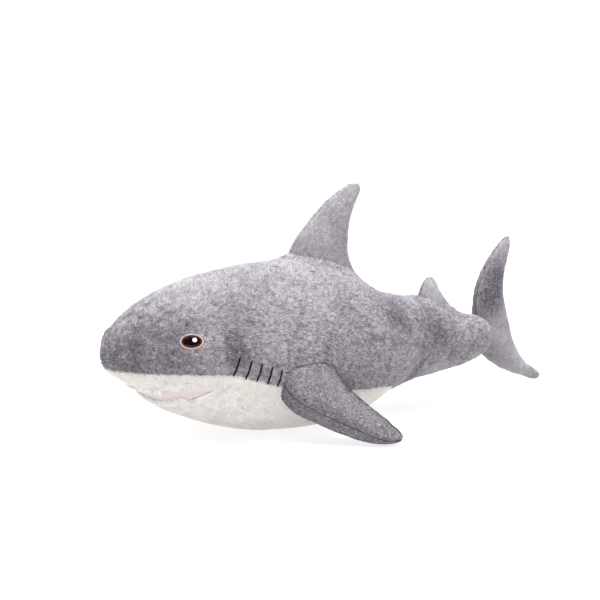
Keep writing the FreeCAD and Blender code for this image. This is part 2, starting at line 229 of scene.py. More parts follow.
def resample(points, count):
    """Points at even steps along the line through the given ones."""
    steps = np.linalg.norm(np.diff(points, axis=0), axis=1)
    points = points[np.r_[True, steps > 1e-3]]
    at = np.r_[0, np.cumsum(np.linalg.norm(np.diff(points, axis=0), axis=1))]
    wanted = np.linspace(0, at[-1], count)
    return np.stack([np.interp(wanted, at, column) for column in points.T], 1)


# --- Meshes ---


def new_object(name, verts, faces):
    mesh = bpy.data.meshes.new(name)
    mesh.from_pydata([tuple(v) for v in verts], [], faces)
    mesh.update()
    obj = bpy.data.objects.new(name, mesh)
    bpy.context.scene.collection.objects.link(obj)
    return obj


def ring_object(name, rings):
    """A closed skin over rings of points; the first and last rings shrink to their middles."""
    rows, columns = rings.shape[0] - 2, rings.shape[1]
    middle = rings[1:-1].reshape(-1, 3)
    verts = np.concatenate([middle, rings[:1].mean(axis=1), rings[-1:].mean(axis=1)])
    first, last = len(middle), len(middle) + 1
    faces = []
    for c in range(columns):
        d = (c + 1) % columns
        faces.append((d, c, first))
        faces.append(((rows - 1) * columns + c, (rows - 1) * columns + d, last))
        for r in range(rows - 1):
            faces.append((r * columns + c, r * columns + d,
                          (r + 1) * columns + d, (r + 1) * columns + c))
    obj = new_object(name, verts, faces)
    face_outwards(obj)
    return obj


def face_outwards(obj):
    bm = bmesh.new()
    bm.from_mesh(obj.data)
    bmesh.ops.recalc_face_normals(bm, faces=bm.faces)
    bm.to_mesh(obj.data)
    bm.free()


def part_of(name, verts, faces):
    """A mesh of some of the faces over a list of points, with only the points they use."""
    used = sorted({i for f in faces for i in f})
    place = {old: new for new, old in enumerate(used)}
    return new_object(name, verts[used], [[place[i] for i in f] for f in faces])


def vectors_of(mesh, attribute):
    values = np.empty(len(mesh.vertices) * 3)
    mesh.vertices.foreach_get(attribute, values)
    return values.reshape(-1, 3)


def points_of(obj):
    return vectors_of(obj.data, "co")


def normals_of(obj):
    return vectors_of(obj.data, "normal")


def move_points(obj, co):
    obj.data.vertices.foreach_set("co", np.ascontiguousarray(co).ravel())
    obj.data.update()


def apply_modifiers(obj):
    bpy.context.view_layer.update()
    depsgraph = bpy.context.evaluated_depsgraph_get()
    mesh = bpy.data.meshes.new_from_object(obj.evaluated_get(depsgraph))
    obj.modifiers.clear()
    obj.data = mesh


def subdivide(obj):
    modifier = obj.modifiers.new("smooth", "SUBSURF")
    modifier.levels = 1
    apply_modifiers(obj)


def thicken(obj, thickness):
    modifier = obj.modifiers.new("cloth_thickness", "SOLIDIFY")
    modifier.thickness = thickness * MM
    modifier.offset = 0
    apply_modifiers(obj)


def cloth_sheet(name, rows, thickness):
    """A sheet of cloth through rows of points, in mm."""
    rows = np.array(rows)
    count = rows.shape[1]
    faces = [(r * count + c, r * count + c + 1, (r + 1) * count + c + 1, (r + 1) * count + c)
             for r in range(len(rows) - 1) for c in range(count - 1)]
    obj = new_object(name, rows.reshape(-1, 3) * MM, faces)
    thicken(obj, thickness)
    shade_smooth(obj)
    return obj


def shade_smooth(obj):
    obj.data.polygons.foreach_set("use_smooth", [True] * len(obj.data.polygons))


# --- Stuffing the panels: cloth simulation ---

STUFFING_PRESSURE = 3.0
STUFFING_FRAMES = 14


def sew(obj, weights):
    """Marks where the cloth is held by its seams, from 0, loose, to 1, sewn fast."""
    group = obj.vertex_groups.new(name="sewn")
    for index, weight in enumerate(weights):
        if weight > 0.01:
            group.add([index], float(weight), "REPLACE")


def even_out(obj, field, rounds=4):
    """Averages a vector at each point with its neighbours', which takes out wrinkles."""
    edges = np.empty(len(obj.data.edges) * 2, np.int32)
    obj.data.edges.foreach_get("vertices", edges)
    a, b = edges.reshape(-1, 2).T
    total = len(field)
    shares = np.bincount(np.concatenate([a, b]), minlength=total)[:, None]
    for _ in range(rounds):
        near = [np.bincount(a, column[b], total) + np.bincount(b, column[a], total)
                for column in field.T]
        field = (field + np.stack(near, 1) / shares) / 2
    return field


def make_cloth(obj):
    """Makes a sewn skin cloth with stuffing pressing on it from inside."""
    cloth = obj.modifiers.new("cloth", "CLOTH")
    settings = cloth.settings
    settings.quality = 4
    settings.mass = 0.25
    settings.tension_stiffness = 18
    settings.compression_stiffness = 18
    settings.shear_stiffness = 8
    settings.bending_stiffness = 1.2
    settings.use_pressure = True
    settings.uniform_pressure_force = STUFFING_PRESSURE
    settings.vertex_group_mass = "sewn"
    settings.effector_weights.gravity = 0
    cloth.collision_settings.use_collision = False
    cloth.point_cache.frame_end = STUFFING_FRAMES


def stuff(pads):
    """Blows the sewn skins up together. pads is [(object, the most a point moves, in mm)]."""
    before = {}
    for obj, _ in pads:
        before[obj.name] = points_of(obj)
        make_cloth(obj)
    for step in range(1, STUFFING_FRAMES + 1):
        bpy.context.scene.frame_set(step)
    depsgraph = bpy.context.evaluated_depsgraph_get()
    for obj, cap in pads:
        blown = bpy.data.meshes.new_from_object(obj.evaluated_get(depsgraph))
        start = before[obj.name]
        shift = vectors_of(blown, "co") - start
        bpy.data.meshes.remove(blown)
        reach = np.linalg.norm(shift, axis=1, keepdims=True)
        shift *= np.minimum(1, cap * MM / np.maximum(reach, 1e-9))
        shift = even_out(obj, shift)
        obj.modifiers.clear()
        move_points(obj, start + shift)
    bpy.context.scene.frame_set(1)


# --- Body skin ---

# The sunk seam between back and belly.
DITCH_DEPTH = 1.2
DITCH_WIDTH = 2.2

# Creases and dimples on the left side of the body: depth, width and the line they follow.
FOLDS = [
    (1.3, 3, [(66, -221, 62), (74, -206, 63.5), (79, -185, 60), (77, -164, 54)]),
    (2.6, 7, [(26, -293, 112), (30, -289, 100), (29, -290, 86)]),
    (1.2, 5, [(14, -287, 122), (28, -279, 118), (40, -269, 116)]),
    (1.6, 9, [(80, -216, 112), (83, -212, 96), (80, -209, 82)]),
    (1.3, 8, [(22, 84, 124), (50, 74, 104), (58, 60, 84), (50, 50, 52), (34, 50, 36)]),
    (0.9, 6, [(36, 100, 104), (50, 82, 80), (46, 76, 52)]),
    (1.1, 6, [(30, 122, 98), (40, 116, 76), (34, 108, 46)]),
    (1.5, 4, [(3, 158, 102), (24, 156, 95), (33, 154, 72), (22, 146, 44), (2, 142, 40)]),
    (1.0, 5, [(70, -14, 132), (62, 14, 124), (50, 30, 122)]),
    (1.0, 5, [(82, -40, 96), (76, -10, 92), (70, 14, 84)]),
    (0.9, 6, [(84, -60, 120), (82, -30, 112), (74, 0, 108)]),
]


def seam_height(y):
    """Height of the edge of the white belly at a distance along the body, all in mm."""
    return spline(*np.array(SEAM, float).T, y)


def line_height(front, y):
    """Height of a straight edge of the mouth, from its corner to its front end."""
    (corner_y, corner_z), (front_y, front_z) = MOUTH_CORNER, front
    return corner_z + (front_z - corner_z) * (corner_y - y) / (corner_y - front_y)


def distance_to(line, points):
    """Distance of each point from a line through the given points."""
    line = np.asarray(line, float)
    best = np.full(len(points), np.inf)
    for start, end in zip(line, line[1:]):
        along = end - start
        t = np.clip((points - start) @ along / (along @ along), 0, 1)
        best = np.minimum(best, np.linalg.norm(points - start - t[:, None] * along, axis=1))
    return best


def both_sides(line):
    """A line on the left and its mirror image on the right."""
    return [np.array(line, float), np.array(line, float) * (-1, 1, 1)]


def rest_on_floor(z):
    """Presses what would reach under the floor flat against it."""
    soft = 2.0
    return FLOOR_GAP + soft * np.logaddexp(0, (z - FLOOR_GAP) / soft)


def body_rings():
    """Sections of the body from nose to tail, in the cloth under the pile."""
    rows = through(BODY, BODY_RINGS, round_start=True)
    angles = np.arange(BODY_COLUMNS) * 2 * math.pi / BODY_COLUMNS
    c, s = np.cos(angles), np.sin(angles)
    across = np.sign(c) * np.abs(c) ** ROUNDNESS
    upright = np.sign(s) * np.abs(s) ** ROUNDNESS
    y, top, bottom, side = rows.T
    half = np.maximum((top - bottom) / 2 - PILE_DEPTH, 0)
    x = np.outer(np.maximum(side - PILE_DEPTH, 0), across)
    z = (top + bottom)[:, None] / 2 + np.outer(half, upright)
    y = np.broadcast_to(y[:, None], x.shape)
    return np.stack([x, y, z], -1)


def crease(points, normals, folds):
    """Pushes folds in along their lines, with a soft roll of cloth beside each."""
    shift = np.zeros(len(points))
    for depth, width, line in folds:
        for side in both_sides(line):
            away = distance_to(side, points) / width
            shift += depth * (-bell(away) + 0.45 * bell(away - 1.9))
    return points + normals * shift[:, None]


def draw_up(points):
    """How far the cloth of the back rises at each point towards the foot of a fin."""
    x, y, z = points.T
    rise = np.zeros(len(points))
    for middle, length, width, height, reach in FIN_FEET:
        oval = np.hypot(x / width, (y - middle) / length)
        slope = np.hypot(x / width**2, (y - middle) / length**2)
        away = np.maximum((oval - 1) * oval / np.maximum(slope, 1e-6), 0)
        on_back = smoothstep(z, *BACK_STARTS)
        rise += on_back * height * np.exp(-away / reach)
    return rise


def sew_body(obj, points):
    """Holds the cloth at the seams and the ridge, at the face and foot, and round the fins."""
    x, y, z = points.T
    off_seam = np.abs(z - seam_height(y))
    off_ridge = np.where(z > 75, np.abs(x), np.inf)
    held = bell(np.minimum(off_seam, off_ridge) / 4.5)
    face = 0.5 * smoothstep(-y, 225, 285)
    foot = 1 - smoothstep(z, 3, 9)
    stump = smoothstep(y, 188, 200)
    collar = smoothstep(draw_up(points), 1, 4)
    sew(obj, np.maximum.reduce([held, face, foot, stump, collar]))


def body_skin():
    """The skin of the body before it is stuffed: creased, a little lumpy, resting on the floor."""
    obj = ring_object("body_skin", body_rings() * MM)
    points, normals = points_of(obj) / MM, normals_of(obj)
    points = crease(points, normals, FOLDS)
    lumps = 1.3 * lattice(points, 46.0, 3) + 0.5 * lattice(points, 17.0, 4)
    sunk = 1.2 + 1.4 * smoothstep(points[:, 2], 115, 165)
    points = points + normals * (lumps - sunk)[:, None]
    heavy = (1 - smoothstep(points[:, 2], 15, 70)) * (1 - smoothstep(points[:, 1], 20, 90))
    points[:, 2] += draw_up(points) - BELLY_SAG * heavy
    points[:, 2] = rest_on_floor(points[:, 2])
    move_points(obj, points * MM)
    sew_body(obj, points)
    return obj


def sink_belly_seam(obj):
    """Smooths the stuffed skin and draws its belly seam in."""
    subdivide(obj)
    points, normals = points_of(obj) / MM, normals_of(obj)
    near = bell((points[:, 2] - seam_height(points[:, 1])) / DITCH_WIDTH)
    points -= normals * near[:, None] * DITCH_DEPTH
    points[:, 2] = rest_on_floor(points[:, 2])
    move_points(obj, points * MM)


def region_of(centres):
    """The panel that each face of the body belongs to, by its middle in mm."""
    x, y, z = centres.T
    white = z < seam_height(y)
    front = y < MOUTH_CORNER[0]
    lip = front & (z > line_height(LIP_FRONT, y))
    gap = front & ~lip & (z > line_height(JAW_FRONT, y))
    region = np.where(x > 0, "back_skin_left", "back_skin_right").astype(object)
    region[white] = "belly_skin"
    region[white & lip] = "upper_lip_skin"
    region[white & gap] = "lower_gum"
    return region


PANELS = ["back_skin_left", "back_skin_right", "belly_skin", "upper_lip_skin", "lower_gum"]


def cut_along(bm, height, rear=math.inf):
    """Splits the faces in front of rear where they cross the surface z = height(y), in mm."""
    def shift(sign):
        y = np.array([v.co.y for v in bm.verts]) / MM
        for v, rise in zip(bm.verts, height(y) * MM):
            v.co.z += sign * rise

    faces = [f for f in bm.faces if f.calc_center_median().y < rear * MM]
    edges = {e for f in faces for e in f.edges}
    verts = {v for f in faces for v in f.verts}
    shift(-1)
    bmesh.ops.bisect_plane(bm, geom=[*verts, *edges, *faces], dist=2e-5, plane_no=(0, 0, 1))
    shift(1)


def take_panels(obj):
    """Splits the skin of the body into its panels, along the belly seam, the lips and the ridge."""
    bm = bmesh.new()
    bm.from_mesh(obj.data)
    cut_along(bm, seam_height)
    for front in (LIP_FRONT, JAW_FRONT):
        cut_along(bm, lambda y: line_height(front, y), MOUTH_CORNER[0])
    for v in bm.verts:
        if abs(v.co.x) < 0.5 * MM:
            v.co.x = 0
    everything = bm.verts[:] + bm.edges[:] + bm.faces[:]
    bmesh.ops.bisect_plane(bm, geom=everything, dist=2e-5, plane_no=(1, 0, 0))
    bm.verts.index_update()
    centres = np.array([f.calc_center_median() for f in bm.faces]) / MM
    region = region_of(centres)
    faces = [[v.index for v in f.verts] for f in bm.faces]
    verts = np.array([v.co for v in bm.verts])
    bm.free()
    bpy.data.objects.remove(obj)
    panels = {}
    for name in PANELS:
        chosen = [f for f, r in zip(faces, region) if r == name]
        panels[name] = part_of(name, verts, chosen)
        shade_smooth(panels[name])
    return panels


# --- Fin skins ---

FIN_COLUMNS = 64
FIN_DITCH_DEPTH = 1.1
FIN_DITCH_WIDTH = 1.7


def fin_rings(stations, count, under):
    """Rings of a flat pillow: two panels that meet in a blunt edge at front, thin at rear.

    under makes the panel on the side below 0 fuller, and blunter still at the front.
    """
    rows = through(stations, count)
    angles = np.arange(FIN_COLUMNS) * 2 * math.pi / FIN_COLUMNS
    c, s = np.cos(angles), np.sin(angles)
    fuller = np.where(s < 0, under, 1.0)
    lens = fuller * np.sign(s) * np.abs(s) ** ((1.0 - 0.35 * c) / fuller)
    up, front, rear, thick = rows.T
    inset = PILE_DEPTH * smoothstep(thick, 0, 12)
    chord = np.maximum((rear - front) / 2 - inset, 0.1)
    x = np.outer(np.maximum(thick / 2 - inset, 0.1), lens)
    y = (front + rear)[:, None] / 2 + np.outer(-chord, c)
    up = np.broadcast_to(up[:, None], x.shape)
    return np.stack([x, y, up], -1)


class Fin:
    """One fin's skin, with what its panels and seams need to know after the simulation."""

    def __init__(self, name, stations, count, place=None, mirrored=False, folds=(), under=1.0):
        rings = fin_rings(stations, count, under)
        self.obj = ring_object(name, rings * MM)
        points, normals = points_of(self.obj) / MM, normals_of(self.obj)
        self.across = points[:, 0].copy()
        front = np.arange(count - 2) * FIN_COLUMNS
        rear = front[::-1] + FIN_COLUMNS // 2
        self.rim = np.concatenate([front, [len(points) - 1], rear])
        near = distance_to(points[self.rim], points)
        up = points[:, 2]
        root = 1 - smoothstep(up, stations[1][0], stations[2][0])
        held = bell(near / 2.2)
        shift = 0.5 * lattice(points, 16.0, 9) * (1 - held)
        shift -= FIN_DITCH_DEPTH * bell(near / FIN_DITCH_WIDTH) * (1 - root)
        for depth, width, line in folds:
            away = distance_to(line, points) / width
            shift += depth * (-bell(away) + 0.4 * bell(away - 1.9))
        points += normals * shift[:, None]
        if place is not None:
            points = place(points)
        move_points(self.obj, points * MM)
        if mirrored:
            self.obj.data.flip_normals()
        sew(self.obj, np.maximum(held, root))

    def panels(self, names):
        """Takes the skin apart into its two panels, the one with across > 0 first."""
        co = points_of(self.obj)
        faces = [list(f.vertices) for f in self.obj.data.polygons]
        first = [self.across[f].mean() > 0 for f in faces]
        self.seam = co[self.rim] / MM
        self.rings = co[:-2].reshape(-1, FIN_COLUMNS, 3) / MM
        bpy.data.objects.remove(self.obj)
        made = []
        for name, wanted in zip(names, (True, False)):
            chosen = [f for f, is_first in zip(faces, first) if is_first == wanted]
            panel = part_of(name, co, chosen)
            subdivide(panel)
            shade_smooth(panel)
            made.append(panel)
        return made


def pectoral_place(side):
    """Turns a fin built upright on its root line to droop, curving out along the floor."""
    root_x, root_y, root_z = PECTORAL_ROOT
    length = PECTORAL[-1][0]

    def place(points):
        out = points[:, 2]
        # The droop eases towards the tip, which lies on the floor.
        eased = PECTORAL_EASE * np.clip(out, 0, length) / length
        droop = np.radians(PECTORAL_DROOP + PECTORAL_EASE / 2 - eased)
        x = root_x + out * np.cos(droop) + points[:, 0] * np.sin(droop)
        z = root_z - out * np.sin(droop) + points[:, 0] * np.cos(droop)
        placed = np.stack([x * side, points[:, 1] + root_y, z], 1)
        placed[:, 2] = rest_on_floor(placed[:, 2])
        return placed

    return place


# --- Pile ---


def sample_surface(obj, density):
    """Random points on a mesh: where they lie, in mm, and the smooth normal there."""
    mesh = obj.data
    mesh.calc_loop_triangles()
    corners = np.empty(len(mesh.loop_triangles) * 3, np.int32)
    mesh.loop_triangles.foreach_get("vertices", corners)
    corners = corners.reshape(-1, 3)
    co, no = points_of(obj) / MM, normals_of(obj)
    a, b, c = co[corners[:, 0]], co[corners[:, 1]], co[corners[:, 2]]
    area = np.linalg.norm(np.cross(b - a, c - a), axis=1) / 2
    count = int(area.sum() * density)
    face = np.searchsorted(np.cumsum(area), rng.random(count) * area.sum())
    face = np.minimum(face, len(area) - 1)
    u, v = rng.random(count), rng.random(count)
    over = u + v > 1
    u[over], v[over] = 1 - u[over], 1 - v[over]
    w = 1 - u - v
    mix = [w[:, None], u[:, None], v[:, None]]
    points = sum(m * co[corners[face, k]] for k, m in enumerate(mix))
    normals = sum(m * no[corners[face, k]] for k, m in enumerate(mix))
    return points, unit(normals)


# A kind of pile: its shades from dark to light, tufts per square mm, their length and width in
# mm, how far they lean in degrees, the way they are brushed, and how uneven their shades are.
Pile = namedtuple("Pile", "shades density length width lean nap fleck")


def grow_pile(name, skin, kind, keep=None, tone=None):
    """Tufts of pile over a skin, one leaning blade each, in the shade of their patch.

    tone moves the shade at each point up or down, and keep says where tufts may stand.
    """
    points, normals = sample_surface(skin, kind.density * (1.0))
    if keep is not None:
        kept = keep(points)
        points, normals = points[kept], normals[kept]
    count = len(points)
    swirl = np.stack([lattice(points, 5.0, k) for k in (11, 12, 13)], 1)
    along = np.array(kind.nap) + 0.75 * swirl + 0.35 * rng.normal(size=(count, 3))
    along = unit(along - normals * np.sum(along * normals, 1, keepdims=True))
    tilt = np.radians(np.clip(kind.lean + 13 * rng.normal(size=count), 8, 76))[:, None]
    reach = kind.length * (0.75 + 0.5 * rng.random((count, 1)))
    tips = points + reach * (normals * np.cos(tilt) + along * np.sin(tilt))
    turn = rng.normal(size=(count, 3)) * 0.25
    across = unit(np.cross(normals, along) + turn)
    across = across * kind.width * (0.7 + 0.6 * rng.random((count, 1)))
    roots = points - normals * 0.3
    tips[:, 2] = np.maximum(tips[:, 2], 0.25)
    roots[:, 2] = np.maximum(roots[:, 2], 0.2)
    verts = np.stack([roots - across / 2, roots + across / 2, tips], 1).reshape(-1, 3) * MM
    level = kind.fleck * (0.9 * rng.normal(size=count) + 1.5 * lattice(points, 2.3, 21))
    if tone is not None:
        level = level + tone(points)
    lightest = len(kind.shades) - 1
    slots = np.clip(np.round(level + lightest / 2), 0, lightest)
    mesh = bpy.data.meshes.new(name)
    mesh.vertices.add(count * 3)
    mesh.vertices.foreach_set("co", verts.ravel())
    mesh.loops.add(count * 3)
    mesh.loops.foreach_set("vertex_index", np.arange(count * 3, dtype=np.int32))
    mesh.polygons.add(count)
    mesh.polygons.foreach_set("loop_start", np.arange(count, dtype=np.int32) * 3)
    mesh.polygons.foreach_set("loop_total", np.full(count, 3, dtype=np.int32))
    mesh.polygons.foreach_set("material_index", slots.astype(np.int32))
    mesh.update(calc_edges=True)
    for shade in kind.shades:
        mesh.materials.append(shade)
    obj = bpy.data.objects.new(name, mesh)
    bpy.context.scene.collection.objects.link(obj)
    return obj


# --- Threads and felt ---


THREAD_SIDES = 6
THREAD_TAPER = 0.4


def strand_object(name, lines, radius, out):
    """Threads as thin tubes with tapered ends; lines is (threads, points, 3) in mm."""
    sides = THREAD_SIDES
    lines = np.asarray(lines, float)
    count, steps = lines.shape[:2]
    ahead = unit(np.gradient(lines, axis=1).reshape(-1, 3))
    out = np.broadcast_to(out, lines.shape).reshape(-1, 3)
    side = unit(np.cross(ahead, out))
    up = np.cross(side, ahead)
    angles = np.arange(sides) * 2 * math.pi / sides
    ring = side[:, None] * np.cos(angles)[:, None] + up[:, None] * np.sin(angles)[:, None]
    size = np.full(steps, radius)
    size[[0, -1]] *= THREAD_TAPER
    ring *= np.tile(size, count)[:, None, None]
    verts = (lines.reshape(-1, 1, 3) + ring).reshape(-1, 3) * MM
    faces = []
    for t in range(count):
        base = t * steps * sides
        for k in range(steps - 1):
            here = base + k * sides
            for e in range(sides):
                f = (e + 1) % sides
                faces.append((here + e, here + f, here + sides + f, here + sides + e))
        faces.append(tuple(base + e for e in reversed(range(sides))))
        faces.append(tuple(base + (steps - 1) * sides + e for e in range(sides)))
    obj = new_object(name, verts, faces)
    face_outwards(obj)
    shade_smooth(obj)
    return obj


class Surface:
    """Finds where lines from outside meet some panels."""

    # How far outside the lines start, and how far they reach.
    OUTSIDE = 40
    REACH = 120

    def __init__(self, *panels):
        self.trees = []
        for panel in panels:
            verts = [Vector(v) for v in points_of(panel) / MM]
            faces = [tuple(f.vertices) for f in panel.data.polygons]
            self.trees.append(BVHTree.FromPolygons(verts, faces))

    def height(self, point):
        """How far a point stands outside the panels; negative inside them."""
        near = min((tree.find_nearest(point) for tree in self.trees), key=lambda hit: hit[3])
        return (point - near[0]).dot(near[1])

    def join(self, fin):
        """The closed line along which a fin that starts inside the panels comes out."""
        line = []
        for column in range(FIN_COLUMNS):
            path = [Vector(p) for p in fin.rings[:, column]]
            heights = [self.height(p) for p in path]
            for k in range(len(path) - 1):
                if heights[k] < 0 <= heights[k + 1]:
                    share = -heights[k] / (heights[k + 1] - heights[k])
                    line.append(path[k].lerp(path[k + 1], share))
                    break
        return np.array(line + line[:1])

    def under(self, points, out, lift):
        """The points dropped along -out onto the panels, then raised by lift."""
        out = Vector(out)
        landed = []
        for point in np.atleast_2d(points):
            start = Vector(point) + out * self.OUTSIDE
            hits = [tree.ray_cast(start, -out, self.REACH) for tree in self.trees]
            hits = [h for h in hits if h[0] is not None]
            spot = min(hits, key=lambda h: h[3])[0] if hits else Vector(point)
            landed.append(spot + out * lift)
        return np.array(landed)


# --- Eyes and gills ---

EYE_TURN = math.radians(24)
EYE_LIFT = math.radians(8)
EYE_HALF = (11.25, 7.5)
OUTLINE_WIDTH = 1.4
IRIS_WIDTH = 1.9
GLINT = (2.7, 1.3)
GLINT_RADIUS = 2.1
EYE_THREAD = 0.34

# The first and the last gill slit on the left: top and bottom as (along the body, height).
FIRST_GILL = ((-203, 94), (-208, 75))
LAST_GILL = ((-157, 77), (-159, 60))
GILLS = 5
GILL_WIDTH = 2.2
GILL_THREAD = 0.3


def eye_axes(side):
    """The ways out, to the rear and up of the eye that looks out at side, 1 left or -1 right."""
    out = Vector((math.cos(EYE_TURN) * math.cos(EYE_LIFT) * side,
                  -math.sin(EYE_TURN) * math.cos(EYE_LIFT), math.sin(EYE_LIFT)))
    rear = Vector((math.sin(EYE_TURN) * side, math.cos(EYE_TURN), 0))
    up = out.cross(rear) * side
    return np.array(out), np.array(rear), np.array(up)


def eye_middle(side_name):
    low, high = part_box("eye_outline_" + side_name)
    return np.array(low + high) / 2 / MM


def eye_pieces(side_name, surface, threads):
    """Embroidery in four fields: a ring of pink, a ring of brown, black, and the glint."""
    side = SIDES[side_name]
    out, rear, up = eye_axes(side)
    middle = eye_middle(side_name)

    def laid(local, lift):
        flat = np.asarray(local).reshape(-1, 2)
        spots = middle + flat[:, :1] * rear + flat[:, 1:] * up
        return surface.under(spots, out, lift).reshape(*np.shape(local)[:-1], 3)

    def ring_threads(outer, inner, lift):
        length = 2 * math.pi * math.hypot(*outer) / math.sqrt(2)
        turns = np.linspace(0, 2 * math.pi, int(length / (EYE_THREAD * 1.9)), endpoint=False)
        turns = turns + 0.015 * rng.normal(size=len(turns))
        circle = np.stack([np.cos(turns), np.sin(turns)], 1)
        share = np.linspace(0, 1, 4)[None, :, None]
        edge_in, edge_out = circle[:, None] * inner, circle[:, None] * outer
        return laid(edge_in * (1 - share) + edge_out * share, lift)

    def row_threads(half, centre, lift):
        rows = np.arange(-half[0] + EYE_THREAD, half[0], EYE_THREAD * 1.7)
        reach = half[1] * np.sqrt(1 - (rows / half[0]) ** 2)
        share = np.linspace(-1, 1, 7)
        local = np.stack(np.broadcast_arrays(rows[:, None], reach[:, None] * share), -1)
        return laid(local + np.array(centre), lift)

    half = np.array(EYE_HALF)
    iris = half - OUTLINE_WIDTH
    pupil = iris - IRIS_WIDTH
    fields = [("outline", ring_threads(half, iris - 0.3, 0.9), EYE_THREAD * 1.15, "pink"),
              ("iris", ring_threads(iris, pupil - 0.4, 1.1), EYE_THREAD, "brown"),
              ("pupil", row_threads(pupil, (0, 0), 1.4), EYE_THREAD, "black"),
              ("glint", row_threads((GLINT_RADIUS, GLINT_RADIUS), GLINT, 1.9),
               EYE_THREAD, "white")]
    for part, lines, radius, colour in fields:
        piece = strand_object("eye_%s_stitches_%s" % (part, side_name), lines, radius, out)
        finish(piece, threads[colour], "body")
        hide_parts("eye_%s_%s" % (part, side_name))


def gill_lines():
    """Top and bottom of each gill slit on the left, as (along the body, height)."""
    first, last = np.array(FIRST_GILL, float), np.array(LAST_GILL, float)
    return [first + (last - first) * k / (GILLS - 1) for k in range(GILLS)]


def gill_pieces(side_name, surface, thread):
    """Each gill slit is a bar of satin stitch, its threads lying across it."""
    side = SIDES[side_name]
    out = np.array([side, 0, 0])
    lines = []
    for top, bottom in gill_lines():
        length = np.linalg.norm(top - bottom)
        down = (bottom - top) / length
        along = np.arange(0, length, GILL_THREAD * 1.8)
        taper = np.sqrt(np.clip(np.minimum(along, length - along) / 1.5, 0.25, 1))
        across = np.array([-down[1], down[0]])
        for at, share in zip(along, taper):
            middle = top + down * at
            spread = np.linspace(-0.5, 0.5, 5)[:, None] * GILL_WIDTH * share * across
            spots = middle + spread + down * 0.3 * np.linspace(-1, 1, 5)[:, None]
            flat = np.column_stack([np.full(5, side * 60.0), spots])
            bar = surface.under(flat, out, 1.6)
            bar[:, 0] += side * 0.5 * np.cos(np.linspace(-1.3, 1.3, 5))
            lines.append(bar)
    piece = strand_object("gill_satin_" + side_name, lines, GILL_THREAD, out)
    finish(piece, thread, "body")
    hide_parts("gill_stitches_" + side_name)


# --- Mouth ---

TOOTH_WIDTH = 7.5
TOOTH_HEIGHT = 6.5
TOOTH_STEP = 0.6
# How far the felt goes on below the edge it is sewn into.
TOOTH_ROOT = 2.0
FELT_THICKNESS = 1.3
LINING_THICKNESS = 0.5

# Where the linings end at the throat, along the body and in height.
UPPER_THROAT = (-218, 63)
LOWER_THROAT = (-228, 54)


def edge_of(panel, front):
    """The edge of a panel along the lip or the jaw, from the left corner to the right."""
    points = points_of(panel) / MM
    on_edge = np.abs(points[:, 2] - line_height(front, points[:, 1])) < 0.05
    points = points[on_edge & (points[:, 1] < MOUTH_CORNER[0])]
    turn = np.arctan2(points[:, 0], MOUTH_CORNER[0] + 4 - points[:, 1])
    points = points[np.argsort(-turn)]
    return resample(points, 90)


def lining(name, edge, throat, rise, bowl):
    """Thin cloth that turns in over the gum at the edge of a lip and back to the throat.

    throat is where it ends in y and z, rise is how far the gum stands up from the edge, and
    bowl is how far the cloth arches beyond the gum.
    """
    arch = np.sin(np.linspace(0, math.pi, len(edge)))
    rows = []
    for share in np.linspace(0, 1, 18):
        row = edge.copy()
        row[:, 0] *= 1 - 0.6 * share
        row[:, 1] += (throat[0] - row[:, 1]) * share
        gum = smoothstep(share, 0.03, 0.2) - smoothstep(share, 0.3, 0.6)
        row[:, 2] += (throat[1] - row[:, 2]) * smoothstep(share, 0.5, 1)
        row[:, 2] += rise * gum + bowl * arch * math.sin(math.pi * share)
        rows.append(row)
    return cloth_sheet(name, rows, LINING_THICKNESS)


def lower_gum(gum):
    """Sinks the cloth between the lips, more towards the upper lip, and gives it thickness."""
    points, normals = points_of(gum) / MM, normals_of(gum)
    jaw_line = line_height(JAW_FRONT, points[:, 1])
    lip_line = line_height(LIP_FRONT, points[:, 1])
    share = np.clip((points[:, 2] - jaw_line) / np.maximum(lip_line - jaw_line, 0.5), 0, 1)
    move_points(gum, (points - normals * (0.7 + 1.6 * share)[:, None]) * MM)
    thicken(gum, LINING_THICKNESS)


def teeth_strip(name, edge, opposite, reach):
    """A strip of felt cut in points, lying on the gum from one lip towards the other.

    reach says between which shares of the lip's length the teeth stand.
    """
    low, high = (int(share * len(edge)) for share in reach)
    length = np.linalg.norm(np.diff(edge[low:high], axis=0), axis=1).sum()
    line = resample(edge[low:high], int(length / TOOTH_STEP))
    across = unit(resample(opposite[low:high], len(line)) - line)
    out = unit(np.cross(np.gradient(line, axis=0), across))
    out *= np.sign(np.sum(out * (line - (0, MOUTH_CORNER[0], 90)), 1))[:, None]
    along = np.arange(len(line)) * TOOTH_STEP
    wave = 1 - np.abs((along / TOOTH_WIDTH) % 1 * 2 - 1)
    height = TOOTH_HEIGHT * (0.18 + 0.82 * wave**0.85) * (1 + 0.12 * np.sin(along * 0.7))
    rows = []
    for share in np.linspace(0, 1, 7):
        rise = -TOOTH_ROOT + (height + TOOTH_ROOT) * share
        rows.append(line + across * rise[:, None] - out * (0.9 - 0.8 * share))
    return cloth_sheet(name, rows, FELT_THICKNESS)


# --- Materials ---

GREY = (0.305, 0.285, 0.315)
WHITE = (0.69, 0.66, 0.635)
PINK = (0.49, 0.43, 0.425)
FELT_WHITE = (0.80, 0.785, 0.765)
# Embroidery threads: colour, roughness, gloss and how uneven the colour is.
THREADS = {
    "pink": ((0.50, 0.36, 0.32), 0.7, 0.1, 0.15),
    "brown": ((0.05, 0.014, 0.012), 0.6, 0.12, 0.3),
    "black": ((0.004, 0.004, 0.005), 0.8, 0.0, 0.3),
    "white": ((0.85, 0.85, 0.84), 0.45, 0.4, 0.05),
    "gill": ((0.006, 0.006, 0.010), 0.8, 0.0, 0.3),
}


def set_inputs(node, values):
    for name, value in values.items():
        node.inputs[name].default_value = value
    return node


